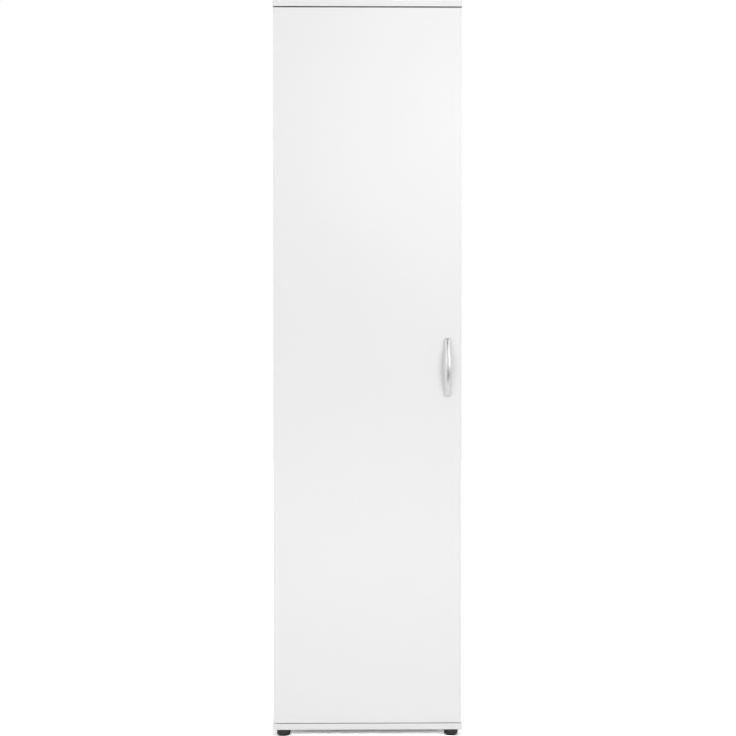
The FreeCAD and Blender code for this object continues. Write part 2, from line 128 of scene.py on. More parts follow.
class Shader:
    """A node tree, wired by short calls. A material's textures run in the piece's own metres."""

    def __init__(self, name, store=bpy.data.materials, surface="Principled BSDF", place="Object"):
        self.material = store.new(name)
        self.material.use_nodes = True
        self.tree = self.material.node_tree
        self.surface = self.tree.nodes[surface]
        self.place = self.tree.nodes.new("ShaderNodeTexCoord").outputs[place]

    def put(self, socket, value):
        if isinstance(value, bpy.types.NodeSocket):
            self.tree.links.new(value, socket)
        else:
            socket.default_value = value

    def add(self, kind, **inputs):
        node = self.tree.nodes.new(kind)
        for name, value in inputs.items():
            self.put(node.inputs[name.replace("_", " ")], value)
        return node

    def math(self, operation, first, second=0.0, third=0.0):
        node = self.tree.nodes.new("ShaderNodeMath")
        node.operation = operation
        for socket, value in zip(node.inputs, (first, second, third)):
            self.put(socket, value)
        return node.outputs[0]

    def product(self, first, *others):
        for other in others:
            first = self.math("MULTIPLY", first, other)
        return first

    def along(self, way):
        """How far the place lies along a direction."""
        node = self.tree.nodes.new("ShaderNodeVectorMath")
        node.operation = "DOT_PRODUCT"
        self.put(node.inputs[0], self.place)
        node.inputs[1].default_value = way
        return node.outputs["Value"]

    def noise(self, scale, detail=3.0, roughness=0.5, stretch=None):
        place = self.place
        if stretch is not None:
            mapping = self.add("ShaderNodeMapping", Vector=place)
            mapping.inputs["Scale"].default_value = stretch
            place = mapping.outputs[0]
        node = self.add("ShaderNodeTexNoise", Vector=place, Scale=scale, Detail=detail,
                        Roughness=roughness)
        return node.outputs["Fac"]

    def ramp(self, value, start, end, low=0.0, high=1.0):
        """Maps start..end of a value to low..high, smoothly and clamped."""
        node = self.tree.nodes.new("ShaderNodeMapRange")
        node.interpolation_type = "SMOOTHSTEP"
        for name, number in (("Value", value), ("From Min", start), ("From Max", end),
                             ("To Min", low), ("To Max", high)):
            self.put(node.inputs[name], number)
        return node.outputs["Result"]

    def band(self, value, low, high, soft):
        """1 from low to high, and 0 outside, with soft ends."""
        return self.product(self.ramp(value, low - soft, low + soft),
                            self.ramp(value, high + soft, high - soft))

    def mix(self, factor, first, second):
        node = self.tree.nodes.new("ShaderNodeMix")
        node.data_type = "RGBA"
        self.put(node.inputs["Factor"], factor)
        self.put(node.inputs[MIX_FIRST], colour(first))
        self.put(node.inputs[MIX_SECOND], colour(second))
        return node.outputs[MIX_RESULT]

    def blend(self, factor, first, second):
        """The same as mix, for plain numbers."""
        step = self.math("SUBTRACT", second, first)
        return self.math("MULTIPLY_ADD", step, factor, first)

    def bump(self, height, distance, strength=1.0, below=None):
        node = self.add("ShaderNodeBump", Height=height, Distance=distance, Strength=strength)
        if below is not None:
            self.put(node.inputs["Normal"], below)
        return node.outputs["Normal"]

    def scaled(self, tone, share):
        node = self.tree.nodes.new("ShaderNodeVectorMath")
        node.operation = "SCALE"
        self.put(node.inputs[0], tone)
        self.put(node.inputs["Scale"], share)
        return node.outputs["Vector"]

    def choose(self, factor, first, second):
        """One surface or the other, by a factor of 0 or 1."""
        node = self.tree.nodes.new("ShaderNodeMixShader")
        for socket, value in zip(node.inputs, (factor, first, second)):
            self.put(socket, value)
        return node.outputs[0]

    def finish(self, **inputs):
        for name, value in inputs.items():
            self.put(self.surface.inputs[name.replace("_", " ")], value)
        return self.material


def colour(value):
    """A grey level or an RGB triple as a node's colour; a socket passes through."""
    if isinstance(value, bpy.types.NodeSocket):
        return value
    if isinstance(value, (int, float)):
        value = (value, value, value)
    return (*value, 1.0)


def tinted(base, share):
    return tuple(channel * share for channel in base)


# ---------------------------------------------------------------- boards
MELAMINE = (0.832, 0.832, 0.832)
EDGING = (0.802, 0.802, 0.802)
EDGING_COVER = 0.8                # how much of its own tone the edging shows
CLOUD_SHARES = (0.985, 1.012)     # of the melamine's tone, from its darker to its lighter places
FACE_DEPTHS = (0.05 * MM, 0.15 * MM)   # below the board's face, where the edging begins
SEAM_INSET = 0.9 * MM             # from the arris to the edging's glue line on the face
SEAM_HALF = (0.10 * MM, 0.22 * MM)     # half its width, without and with its soft edge
SEAM_COVER, SEAM_SHARE = 0.30, 0.52
RUBBED_REACH = 2.2 * MM           # from the arris
RUBBED_COVER, RUBBED_SHARE = 0.22, 0.78
NOISE_RANGE = (0.2, 0.8)          # where nearly all values of a noise lie

# Painted shade and painted light in the gaps at the closed door's edges: the dark strip on the
# top panel's underside above the door is painted shade, and the white strips on the faces below
# the door are painted light. Each entry is the face's level and the strip's tone.
GAP_STRIP_PAINT = {"top_panel": (TOP_LOW.z, 0.12), "bottom_panel": (BOTTOM_HIGH.z, 0.97),
               "door_panel": (DOOR_LOW.z, 0.97)}
GAP_STRIP_COVER = (0.78, 0.95)        # from its weakest to its strongest places
GAP_STRIP_HEIGHT = (0.3 * MM, 0.1 * MM)    # reach above and below the face's level, and softness
GAP_STRIP_REAR = (-3 * MM, 2 * MM)    # behind the door's rear face, where the strip fades out
GAP_STRIP_FRONT = (0.2 * MM, 1.2 * MM)     # behind its front, where the strip begins


def edge_distance(shader, low, high):
    """How far a point on a board's surface is from the board's nearest edge, and from its faces.

    A surface point lies on one face, so the middle one of its three distances is that to the edge.
    """
    centre, half = (low + high) / 2, (high - low) / 2
    separate = shader.add("ShaderNodeSeparateXYZ", Vector=shader.place)
    distances = []
    for axis in range(3):
        offset = shader.math("SUBTRACT", separate.outputs[axis], centre[axis])
        distances.append(shader.math("SUBTRACT", half[axis], shader.math("ABSOLUTE", offset)))
    a, b, c = distances
    nearest_pair = shader.math("MINIMUM", shader.math("MAXIMUM", a, b), c)
    middle = shader.math("MAXIMUM", shader.math("MINIMUM", a, b), nearest_pair)
    thin_axis = min(range(3), key=lambda axis: half[axis])
    return middle, distances[thin_axis]


def painted_gap_strip(shader, level):
    """The strip of a horizontal face that the closed door's edge stands over or under, where the
    gaps' painted shade or painted light goes.
    """
    along, up = shader.along(REARWARDS), shader.along(UP)
    reach, soft = GAP_STRIP_HEIGHT
    face = shader.band(up, level - reach, level + reach, soft)
    strip = shader.ramp(along, *(DOOR_HIGH.y + offset for offset in GAP_STRIP_REAR), 1.0, 0.0)
    behind_arris = shader.ramp(along, *(DOOR_LOW.y + offset for offset in GAP_STRIP_FRONT))
    return shader.product(face, strip, behind_arris)


def melamine(node_name):
    """Melamine-faced chipboard with a thin edging: fine pearl grain, a seam and rubbed edges; on
    the boards by the door's gaps, a strip of painted shade or painted light.
    """
    shader = Shader("melamine_" + node_name)
    edge, depth = edge_distance(shader, *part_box(node_name))
    face = shader.ramp(depth, *FACE_DEPTHS, 1.0, 0.0)
    from_seam = shader.math("ABSOLUTE", shader.math("SUBTRACT", edge, SEAM_INSET))
    seam = shader.product(face, shader.ramp(from_seam, *SEAM_HALF, 1.0, 0.0))
    rubbed = shader.product(shader.ramp(edge, 0.0, RUBBED_REACH, 1.0, 0.0),
                            shader.noise(scale=60.0, detail=4.0, roughness=0.7))
    cloud = shader.noise(scale=2.3, detail=2.0)
    tone = shader.mix(cloud, *(tinted(MELAMINE, share) for share in CLOUD_SHARES))
    off_face = shader.math("SUBTRACT", 1.0, face)
    tone = shader.mix(shader.product(off_face, EDGING_COVER), tone, EDGING)
    tone = shader.mix(shader.product(rubbed, RUBBED_COVER), tone, tinted(MELAMINE, RUBBED_SHARE))
    tone = shader.mix(shader.product(seam, SEAM_COVER), tone, tinted(MELAMINE, SEAM_SHARE))
    # Painted shade in the gap above the door, and painted light in the gaps below it.
    if node_name in GAP_STRIP_PAINT:
        level, painted_gap_tone = GAP_STRIP_PAINT[node_name]
        painted_gap_cover = shader.ramp(shader.noise(scale=30.0), *NOISE_RANGE, *GAP_STRIP_COVER)
        tone = shader.mix(shader.product(painted_gap_strip(shader, level), painted_gap_cover), tone, painted_gap_tone)
    grain = shader.noise(scale=1100.0, detail=2.0, roughness=0.6)
    swell = shader.noise(scale=5.0, detail=1.0)
    smudge = shader.noise(scale=14.0, detail=3.0, roughness=0.6)
    normal = shader.bump(grain, distance=0.02 * MM, strength=0.55)
    normal = shader.bump(swell, distance=0.25 * MM, strength=0.35, below=normal)
    off_seam = shader.math("SUBTRACT", 1.0, seam)
    normal = shader.bump(off_seam, distance=0.12 * MM, strength=0.6, below=normal)
    rough = shader.math("ADD", shader.ramp(smudge, *NOISE_RANGE, low=0.36, high=0.44),
                        shader.product(grain, 0.05))
    return shader.finish(Base_Color=tone, Roughness=rough, Normal=normal)


# ---------------------------------------------------------------- other materials
HARDBOARD = (0.30, 0.175, 0.085)
PRINT_DEPTHS = (0.4 * MM, 0.6 * MM)    # below the back panel's inner face, where its print ends
FELT_DARK, FELT_LIGHT = (0.52, 0.51, 0.49), (0.80, 0.79, 0.77)


def hardboard():
    """Thin hardboard: white print on the inside, bare brown fibre outside."""
    shader = Shader("hardboard")
    depth = shader.add("ShaderNodeSeparateXYZ", Vector=shader.place).outputs["Y"]
    outside = shader.ramp(depth, *(BACK_LOW.y + below for below in PRINT_DEPTHS))
    fibre = shader.noise(scale=420.0, detail=5.0, roughness=0.7, stretch=(1.0, 1.0, 0.28))
    blotch = shader.noise(scale=9.0, detail=3.0)
    brown = shader.mix(shader.ramp(fibre, 0.3, 0.7), tinted(HARDBOARD, 0.72),
                       tinted(HARDBOARD, 1.35))
    brown = shader.mix(shader.product(blotch, 0.4), brown, tinted(HARDBOARD, 0.85))
    white = shader.mix(blotch, tinted(MELAMINE, 0.96), MELAMINE)
    tone = shader.mix(outside, white, brown)
    rough = shader.math("ADD", shader.ramp(outside, 0.0, 1.0, low=0.5, high=0.78),
                        shader.product(fibre, 0.08))
    strength = shader.ramp(outside, 0.0, 1.0, low=0.12, high=0.8)
    normal = shader.bump(fibre, distance=0.12 * MM, strength=strength)
    return shader.finish(Base_Color=tone, Roughness=rough, Normal=normal)


def moulded(name, base, roughness, grain_scale, wear):
    """Moulded plastic: fine spark-eroded grain, a little mottling, scuffed where it is handled."""
    shader = Shader(name)
    grain = shader.noise(scale=grain_scale, detail=2.0, roughness=0.6)
    mottle = shader.noise(scale=40.0, detail=3.0)
    scuff = shader.ramp(shader.noise(scale=170.0, detail=5.0, roughness=0.75), 0.60, 0.72)
    tone = shader.mix(mottle, tinted(base, 0.88), tinted(base, 1.12))
    tone = shader.mix(shader.product(scuff, wear), tone, tinted(base, 1.9))
    rough = shader.ramp(mottle, *NOISE_RANGE, low=roughness - 0.05, high=roughness + 0.05)
    rough = shader.math("ADD", rough, shader.product(scuff, 0.12))
    normal = shader.bump(grain, distance=0.05 * MM, strength=0.5)
    return shader.finish(Base_Color=tone, Roughness=rough, Normal=normal)


def plated(name, base, roughness, stretch, line_depth):
    """Plated or satin metal: drawn lines along one axis, cloudy tarnish and fine scratches."""
    shader = Shader(name)
    lines = shader.noise(scale=900.0, detail=3.0, roughness=0.6, stretch=stretch)
    cloud = shader.noise(scale=25.0, detail=3.0, roughness=0.6)
    scratch = shader.ramp(shader.noise(scale=260.0, detail=6.0, roughness=0.8,
                                       stretch=(1.0, 0.15, 1.0)), 0.63, 0.70)
    tone = shader.mix(cloud, tinted(base, 0.93), tinted(base, 1.05))
    tone = shader.mix(shader.product(scratch, 0.25), tone, tinted(base, 0.8))
    rough = shader.ramp(lines, 0.25, 0.75, low=roughness - 0.04, high=roughness + 0.05)
    rough = shader.math("ADD", rough, shader.product(scratch, 0.1))
    normal = shader.bump(lines, distance=line_depth, strength=0.5)
    return shader.finish(Base_Color=tone, Metallic=1.0, Roughness=rough, Normal=normal)


def felt():
    """Pressed wool felt: tangled short fibres with a soft edge sheen."""
    shader = Shader("felt")
    tangle = shader.noise(scale=700.0, detail=6.0, roughness=0.75)
    tone = shader.mix(shader.ramp(tangle, 0.3, 0.7), FELT_DARK, FELT_LIGHT)
    rough = shader.ramp(tangle, *NOISE_RANGE, low=0.85, high=1.0)
    normal = shader.bump(tangle, distance=0.3 * MM, strength=0.8)
    return shader.finish(Base_Color=tone, Roughness=rough, Sheen_Weight=0.4, Normal=normal)


FOOT_BLACK = moulded("foot_plastic", (0.022, 0.022, 0.024), roughness=0.42,
                     grain_scale=900.0, wear=0.5)
WHITE_PLASTIC = moulded("white_plastic", (0.74, 0.74, 0.72), roughness=0.38,
                        grain_scale=1200.0, wear=0.05)
SATIN = plated("satin_silver", (0.79, 0.79, 0.795), roughness=0.27,
               stretch=(1.0, 1.0, 0.06), line_depth=0.004 * MM)
NICKEL = plated("nickel", (0.66, 0.645, 0.61), roughness=0.24,
                stretch=(1.0, 0.08, 1.0), line_depth=0.004 * MM)
ZINC = plated("zinc", (0.56, 0.57, 0.60), roughness=0.34,
              stretch=(0.6, 0.6, 0.6), line_depth=0.01 * MM)
FIBREBOARD = hardboard()


# ---------------------------------------------------------------- shapes in mesh code
MERGE_DISTANCE = 0.001 * MM
BEVEL_SEGMENTS = 2
BEVEL_ANGLE = math.radians(40)    # edges that turn by less stay as they are


def piece(name, mesh, body, material, smooth=True):
    """A new object of the cupboard: its mesh is in the frame's metres already."""
    obj = bpy.data.objects.new(name, mesh)
    bpy.context.scene.collection.objects.link(obj)
    mesh.materials.clear()
    mesh.materials.append(material)
    if smooth:
        mesh.shade_smooth()
    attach(obj, body)
    return obj


def mesh_from(name, build):
    """A mesh that build fills, with its doubled vertices merged and its faces turned outwards."""
    mesh = bpy.data.meshes.new(name)
    shape = bmesh.new()
    build(shape)
    bmesh.ops.remove_doubles(shape, verts=shape.verts, dist=MERGE_DISTANCE)
    bmesh.ops.recalc_face_normals(shape, faces=shape.faces)
    shape.to_mesh(mesh)
    shape.free()
    return mesh


def skin(shape, rings):
    """Joins rings of equally many points into a tube, with a face at each end."""
    loops = [[shape.verts.new(point) for point in ring] for ring in rings]
    for first, second in zip(loops, loops[1:]):
        for i in range(len(first)):
            j = (i + 1) % len(first)
            shape.faces.new((first[i], first[j], second[j], second[i]))
    shape.faces.new(list(reversed(loops[0])))
    shape.faces.new(loops[-1])


def turned(shape, profile, centre, axis, segments):
    """A solid of revolution: profile lists (radius, distance along the axis) from centre."""
    side = UP if abs(axis.z) < 0.5 else RIGHTWARDS
    u = axis.cross(side).normalized()
    v = axis.cross(u)
    turns = [2 * math.pi * i / segments for i in range(segments)]
    skin(shape, [[centre + axis * height + (u * math.cos(turn) + v * math.sin(turn)) * radius
                  for turn in turns] for radius, height in profile])


def carved(mesh, cutter):
    """A mesh with another one cut out of it; both are used up."""
    body, tool = (bpy.data.objects.new(part.name, part) for part in (mesh, cutter))
    for obj in (body, tool):
        bpy.context.scene.collection.objects.link(obj)
    cut = body.modifiers.new("cut", "BOOLEAN")
    cut.operation, cut.object, cut.solver = "DIFFERENCE", tool, "EXACT"
    bpy.context.view_layer.update()
    evaluated = body.evaluated_get(bpy.context.evaluated_depsgraph_get())
    result = bpy.data.meshes.new_from_object(evaluated)
    for obj in (body, tool):
        bpy.data.objects.remove(obj)
    return result


def add_bevel(obj, width):
    edge = obj.modifiers.new("edge", "BEVEL")
    edge.width = width
    edge.segments = BEVEL_SEGMENTS
    edge.limit_method = "ANGLE"
    edge.angle_limit = BEVEL_ANGLE


def middle_of(node_name):
    """The middle of a CAD node's box."""
    low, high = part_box(node_name)
    return (low + high) / 2


# ---------------------------------------------------------------- handle
BOW_STEPS = 48                    # along the bow
BOW_AROUND = 26                   # points round each cross-section
BOW_FRONT = 18                    # steps over its rounded front; the rest close the flat back
BOW_FRONT_POWER = 0.86            # of the sine; below 1 the front is fuller than an ellipse
BOW_BACK_RISE = 0.16              # of the flat back's sides, as a share of the bar's thickness
BOW_BACK_POWER = 4                # the higher, the nearer to its sides the back begins to rise
BOW_TIP = 6.0 * MM                # length over which each end rounds off
BOW_TIP_NARROWING, BOW_TIP_NARROWING_POWER = 0.66, 2.4
BOW_TIP_THINNING, BOW_TIP_THINNING_POWER = 0.8, 4
BOW_END_RISE = 5.0 * MM
BOW_FOOT = 26.0 * MM
BOW_THICKNESS = 9.0 * MM
BOW_END_WIDTH = 18.0 * MM


def arc_height(place, half_chord, rise):
    """Height at a place along the chord of an arc that rises by rise at its middle."""
    radius = (half_chord ** 2 + rise ** 2) / (2 * rise)
    return rise - radius + math.sqrt(radius ** 2 - place ** 2)


def tip_factor(tip, loss, power):
    """What is left of a size at a share of the way through the rounded tip."""
    return math.sqrt(max(0.0, 1.0 - loss * tip ** power))


def bow_ring(share):
    """One cross-section of the bow, at share -1..1 of its half length."""
    centre = middle_of("bow_handle")
    half = (HANDLE_HIGH.z - HANDLE_LOW.z) / 2
    peak = HANDLE_HIGH.y - HANDLE_LOW.y
    z = share * half
    outer = BOW_END_RISE + arc_height(z, half, peak - BOW_END_RISE)
    foot_end = half - BOW_FOOT
    inner = arc_height(z, foot_end, peak - BOW_THICKNESS) if abs(z) < foot_end else 0.0
    widening = (HANDLE_HIGH.x - HANDLE_LOW.x - BOW_END_WIDTH) / 2
    width = BOW_END_WIDTH / 2 + arc_height(z, half, widening)
    tip = max(0.0, (abs(z) - half + BOW_TIP) / BOW_TIP)
    width *= tip_factor(tip, BOW_TIP_NARROWING, BOW_TIP_NARROWING_POWER)
    outer = inner + (outer - inner) * tip_factor(tip, BOW_TIP_THINNING, BOW_TIP_THINNING_POWER)
    ring = []
    for i in range(BOW_AROUND):
        angle = math.pi * i / BOW_FRONT
        if i <= BOW_FRONT:
            x, rise = math.cos(angle), math.sin(angle) ** BOW_FRONT_POWER
        else:
            x, rise = -1 + 2 * (i - BOW_FRONT) / (BOW_AROUND - BOW_FRONT), 0.0
        seat = inner + (outer - inner) * (BOW_BACK_RISE * x ** BOW_BACK_POWER)
        y = HANDLE_HIGH.y - seat - (outer - seat) * rise
        ring.append(Vector((centre.x + x * width, y, centre.z + z)))
    return ring


def add_handle():
    shares = [math.sin(math.pi / 2 * (2 * i / BOW_STEPS - 1)) for i in range(BOW_STEPS + 1)]
    rings = [bow_ring(share) for share in shares]
    mesh = mesh_from("handle_bow", lambda shape: skin(shape, rings))
    bow = piece("handle_bow", mesh, "door", SATIN)
    smooth = bow.modifiers.new("smooth", "SUBSURF")
    smooth.levels = smooth.render_levels = 1
    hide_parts("bow_handle")


# ---------------------------------------------------------------- feet
FOOT_RADIUS = 18.5 * MM
FOOT_SEGMENTS = 48
FOOT_SCREW_DEPTH = 8.0 * MM       # of the recess in the foot's base
FOOT_RECESS_RADIUS = 5.0 * MM
# Radius and height in millimetres, from the mouth of the recess round the outside to the flat top
FOOT_OUTSIDE = ((5.4, 0.8), (6.2, 0.0), (10.3, 0.0), (12.6, 0.4), (14.6, 1.4), (16.3, 3.0),
                (17.6, 5.1), (18.3, 7.6), (18.5, 10.0), (18.5, 19.2), (18.2, 19.8), (17.6, 20.0),
                (8.0, 20.0))


def in_metres(profile):
    return [(radius * MM, height * MM) for radius, height in profile]


def foot_places():
    return [Vector((x, y, FEET_LOW.z))
            for x in (FEET_LOW.x + FOOT_RADIUS, FEET_HIGH.x - FOOT_RADIUS)
            for y in (FEET_LOW.y + FOOT_RADIUS, FEET_HIGH.y - FOOT_RADIUS)]


def add_feet():
    recess = [(0.0, FOOT_SCREW_DEPTH), (FOOT_RECESS_RADIUS, FOOT_SCREW_DEPTH)]

    def build(shape):
        for place in foot_places():
            turned(shape, recess + in_metres(FOOT_OUTSIDE), place, UP, FOOT_SEGMENTS)

    mesh = mesh_from("feet_moulded", build)
    feet = piece("feet_moulded", mesh, "carcass", FOOT_BLACK)
    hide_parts("feet")


# ---------------------------------------------------------------- heads of screws and nails
SCREW_SEGMENTS = 28
SMALL_SCREW = (3.4 * MM, 1.5 * MM)     # radius and rise of the head
LARGE_SCREW = (4.2 * MM, 2.2 * MM)
# Outline of a screw's head, in shares of its radius and rise
SCREW_PROFILE = ((0.0, 1.0), (0.45, 1.0), (0.8, 0.78), (1.0, 0.2), (1.0, 0.0), (0.0, 0.0))
CROSS_REACH, CROSS_HALF_WIDTH = 0.62, 0.15     # in shares of the head's radius
# The cross's size in plan, and its level in shares of the head's rise, at its bottom and top
CROSS_ENDS = ((0.55, 0.25), (1.05, 1.3))
NAIL_SEGMENTS = 16
NAIL_PROFILE = ((0.0, 0.2), (1.1, 0.18), (1.5, 0.1), (1.5, 0.0), (0.0, 0.0))   # millimetres
HEAD_SPIN = 1.1                   # radians from one head to the next, so that no two line up


def cross_prism(shape, reach, half_width, rise):
    """A tapering plus sign that reaches down to a quarter of the head's rise."""
    outline = []
    quarter = [(half_width, reach), (half_width, half_width), (reach, half_width)]
    for _ in range(4):
        outline += quarter
        quarter = [(y, -x) for x, y in quarter]
    skin(shape, [[Vector((x * size, y * size, rise * level)) for x, y in outline]
                 for size, level in CROSS_ENDS])


def cross_recess_screw(radius, rise):
    """A low round head with a cross recess, facing +Z with its seat at z = 0."""
    profile = [(radius * across, rise * up) for across, up in SCREW_PROFILE]
    head = mesh_from("screw_head",
                     lambda shape: turned(shape, profile, Vector(), UP, SCREW_SEGMENTS))
    cross = mesh_from("screw_cross", lambda shape: cross_prism(
        shape, radius * CROSS_REACH, radius * CROSS_HALF_WIDTH, rise))
    return carved(head, cross)


def nail_head():
    profile = in_metres(NAIL_PROFILE)
    return mesh_from("nail_head",
                     lambda shape: turned(shape, profile, Vector(), UP, NAIL_SEGMENTS))


def add_heads(name, head, places, body, material):
    """One object of many equal heads: places lists each head's point and the way it faces."""
    shape = bmesh.new()
    for number, (point, facing) in enumerate(places):
        turn = UP.rotation_difference(facing).to_matrix().to_4x4()
        spin = Matrix.Rotation(number * HEAD_SPIN, 4, "Z")
        before = len(shape.verts)
        shape.from_mesh(head)
        shape.verts.ensure_lookup_table()
        bmesh.ops.transform(shape, matrix=Matrix.Translation(point) @ turn @ spin,
                            verts=shape.verts[before:])
    mesh = bpy.data.meshes.new(name)
    shape.to_mesh(mesh)
    shape.free()
    piece(name, mesh, body, material, smooth=False)
    for polygon in mesh.polygons:
        polygon.use_smooth = len(polygon.vertices) == 4


# ---------------------------------------------------------------- screws on the surface
FLANGE_SCREW_INSET = 12.5 * MM    # from the cup's rim back to the middle of its flange
FLANGE_SCREW_REACH = 25.0 * MM    # above and below the hinge's middle
WING_SCREW_REACH = 16.0 * MM
WING_SCREW_BACK = 21.0 * MM       # behind the mounting plate's front
WING_THICKNESS = 2.5 * MM
ARM_SCREWS_BACK = (12.0 * MM, 32.0 * MM)
HANDLE_SCREW_REACH = 64.0 * MM    # above and below the handle's middle
BRACKET_SCREW_FRONT = 22.0 * MM   # in front of the back panel
BRACKET_THICKNESS = 2.0 * MM


def hinge_levels():
    return [sum(corner.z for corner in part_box(name)) / 2 for name in PLATE_NODES]


def add_hinge_screws(small, large):
    """Per hinge two screws in the cup's flange, two in the plate's wings and two in the arm."""
    cup_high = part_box("hinge_cups")[1]
    flange_x = cup_high.x - FLANGE_SCREW_INSET
    flange = [(Vector((flange_x, cup_high.y, z + way * FLANGE_SCREW_REACH)), REARWARDS)
              for z in hinge_levels() for way in DOWN_AND_UP]
    add_heads("hinge_flange_screws", small, flange, "door", NICKEL)
    plate_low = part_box(PLATE_NODES[0])[0]
    wing_x, wing_y = plate_low.x + WING_THICKNESS, plate_low.y + WING_SCREW_BACK
    wings = [(Vector((wing_x, wing_y, z + way * WING_SCREW_REACH)), RIGHTWARDS)
             for z in hinge_levels() for way in DOWN_AND_UP]
    add_heads("hinge_plate_screws", small, wings, "carcass", NICKEL)
    arm_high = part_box("hinge_arms")[1]
    arms = [(Vector((arm_high.x, plate_low.y + back, z)), RIGHTWARDS)
            for z in hinge_levels() for back in ARM_SCREWS_BACK]
    add_heads("hinge_arm_screws", large, arms, "carcass", NICKEL)


def add_fitting_screws(small, large):
    """The screws that hold the handle (inside the door), the feet and the wall brackets."""
    middle = middle_of("bow_handle")
    grips = [(Vector((middle.x, DOOR_HIGH.y, middle.z + way * HANDLE_SCREW_REACH)), REARWARDS)
             for way in DOWN_AND_UP]
    add_heads("handle_screws", large, grips, "door", ZINC)
    soles = [(place + UP * FOOT_SCREW_DEPTH, -UP) for place in foot_places()]
    add_heads("foot_screws", small, soles, "carcass", ZINC)
    leaves = []
    for low, high in (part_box(name) for name in BRACKET_NODES):
        leaves.append((Vector(((low.x + high.x) / 2, high.y - BRACKET_SCREW_FRONT,
                               high.z - BRACKET_THICKNESS)), -UP))
    add_heads("bracket_screws", small, leaves, "carcass", ZINC)


# ---------------------------------------------------------------- sunk screws and nails
TOUCHING = 0.2 * MM               # a solid that is nearer than this to a wall touches it
HOLE_SEGMENTS = 20
PLASTIC_BEVEL = 0.5 * MM
# Each hole's radius, and its cutter's length, which reaches out of the solid
WELL_HOLE = (4.2 * MM, 20.0 * MM)
WEDGE_HOLE = (2.4 * MM, 12.0 * MM)
BACK_HOLE = (1.75 * MM, 1.0 * MM)
WELL_REACH = 14.0 * MM            # from the block's corner along one board to the screw
WELL_FLOOR = 5.0 * MM             # what is left of the block under a screw's head
WELL_SPACING = 9.0 * MM           # from the block's middle to each screw
WEDGE_NAIL_FLOOR = 3.0 * MM       # what is left of the wedge under a nail's head
WEDGE_NAIL_DROP = 6.0 * MM        # below the wedge's top
BACK_NAIL_SINK = 0.28 * MM
SIDE_NAIL_MARGIN, SIDE_NAIL_PITCH = 45 * MM, 125 * MM
CROSS_NAIL_REACH, CROSS_NAIL_PITCH = 180 * MM, 120 * MM     # in the horizontal boards
DIVIDER_NAIL_MARGIN, DIVIDER_NAIL_PITCH = 90 * MM, 200 * MM


def islands(node_name):
    """The low and high corner of each separate solid of a CAD node, in order of their places."""
    shape = bmesh.new()
    shape.from_mesh(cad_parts[node_name].data)
    bmesh.ops.remove_doubles(shape, verts=shape.verts, dist=MERGE_DISTANCE)
    boxes, seen = [], set()
    for start in shape.verts:
        if start in seen:
            continue
        seen.add(start)
        group = [start]
        for vert in group:
            for edge in vert.link_edges:
                other = edge.other_vert(vert)
                if other not in seen:
                    seen.add(other)
                    group.append(other)
        boxes.append(tuple(Vector([pick(vert.co[axis] for vert in group) for axis in range(3)])
                           for pick in (min, max)))
    shape.free()
    return sorted(boxes, key=lambda box: tuple(round(value, 5) for value in box[0]))


def drilled(name, node_name, holes, hole_size, material):
    """A copy of a CAD node with equal round holes: each is a bottom and the way out."""
    radius, length = hole_size

    def cutters(shape):
        for bottom, way in holes:
            turned(shape, [(radius, 0.0), (radius, length)], bottom, way, HOLE_SEGMENTS)

    solid = mesh_from(name, lambda shape: shape.from_mesh(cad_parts[node_name].data))
    mesh = carved(solid, mesh_from(name + "_holes", cutters))
    mesh.name = name
    obj = piece(name, mesh, "carcass", material, smooth=False)
    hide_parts(node_name)
    return obj


def sunk_screws():
    """In each joint block one screw into the board and one into the wall, each in its well."""
    walls = [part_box(name)[1].x for name in ("left_side_panel", "centre_divider")]
    wells = []
    for low, high in islands("joint_blocks"):
        on_left_wall = min(abs(low.x - wall) for wall in walls) < TOUCHING
        on_bottom = abs(low.z - BOTTOM_HIGH.z) < TOUCHING
        corner = Vector((low.x if on_left_wall else high.x, (low.y + high.y) / 2,
                         low.z if on_bottom else high.z))
        across = RIGHTWARDS if on_left_wall else -RIGHTWARDS
        away = UP if on_bottom else -UP
        wells.append((corner + across * WELL_REACH + away * WELL_FLOOR
                      + REARWARDS * WELL_SPACING, away))
        wells.append((corner + away * WELL_REACH + across * WELL_FLOOR
                      - REARWARDS * WELL_SPACING, across))
    return wells


def support_nails():
    """One nail through the middle of each wedge into its wall."""
    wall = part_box("centre_divider")[1].x
    nails = []
    for low, high in islands("shelf_supports"):
        on_divider = abs(low.x - wall) < TOUCHING
        side, wall_x = (RIGHT, low.x) if on_divider else (LEFT, high.x)
        head = Vector((wall_x + side * WEDGE_NAIL_FLOOR, (low.y + high.y) / 2,
                       high.z - WEDGE_NAIL_DROP))
        nails.append((head, RIGHTWARDS * side))
    return nails


def spaced(first, last, pitch):
    """Evenly spaced places from first to last, about a pitch apart."""
    count = max(1, round((last - first) / pitch))
    return [first + (last - first) * i / count for i in range(count + 1)]


def back_nails():
    """Nails of the back panel into the rear edges of the boards, sunk just below its face."""
    y = BACK_HIGH.y - BACK_NAIL_SINK
    shelf, divider = middle_of("hat_shelf"), middle_of("centre_divider")
    rows = []
    for name in ("left_side_panel", "right_side_panel"):
        x = middle_of(name).x
        rows += [(x, z) for z in spaced(BACK_LOW.z + SIDE_NAIL_MARGIN,
                                        BACK_HIGH.z - SIDE_NAIL_MARGIN, SIDE_NAIL_PITCH)]
    for z in (middle_of("bottom_panel").z, middle_of("top_panel").z, shelf.z):
        rows += [(x, z) for x in spaced(-CROSS_NAIL_REACH, CROSS_NAIL_REACH, CROSS_NAIL_PITCH)]
    rows += [(divider.x, z) for z in spaced(BOTTOM_HIGH.z + DIVIDER_NAIL_MARGIN,
                                            shelf.z - DIVIDER_NAIL_MARGIN, DIVIDER_NAIL_PITCH)]
    return [(Vector((x, y, z)), REARWARDS) for x, z in rows]


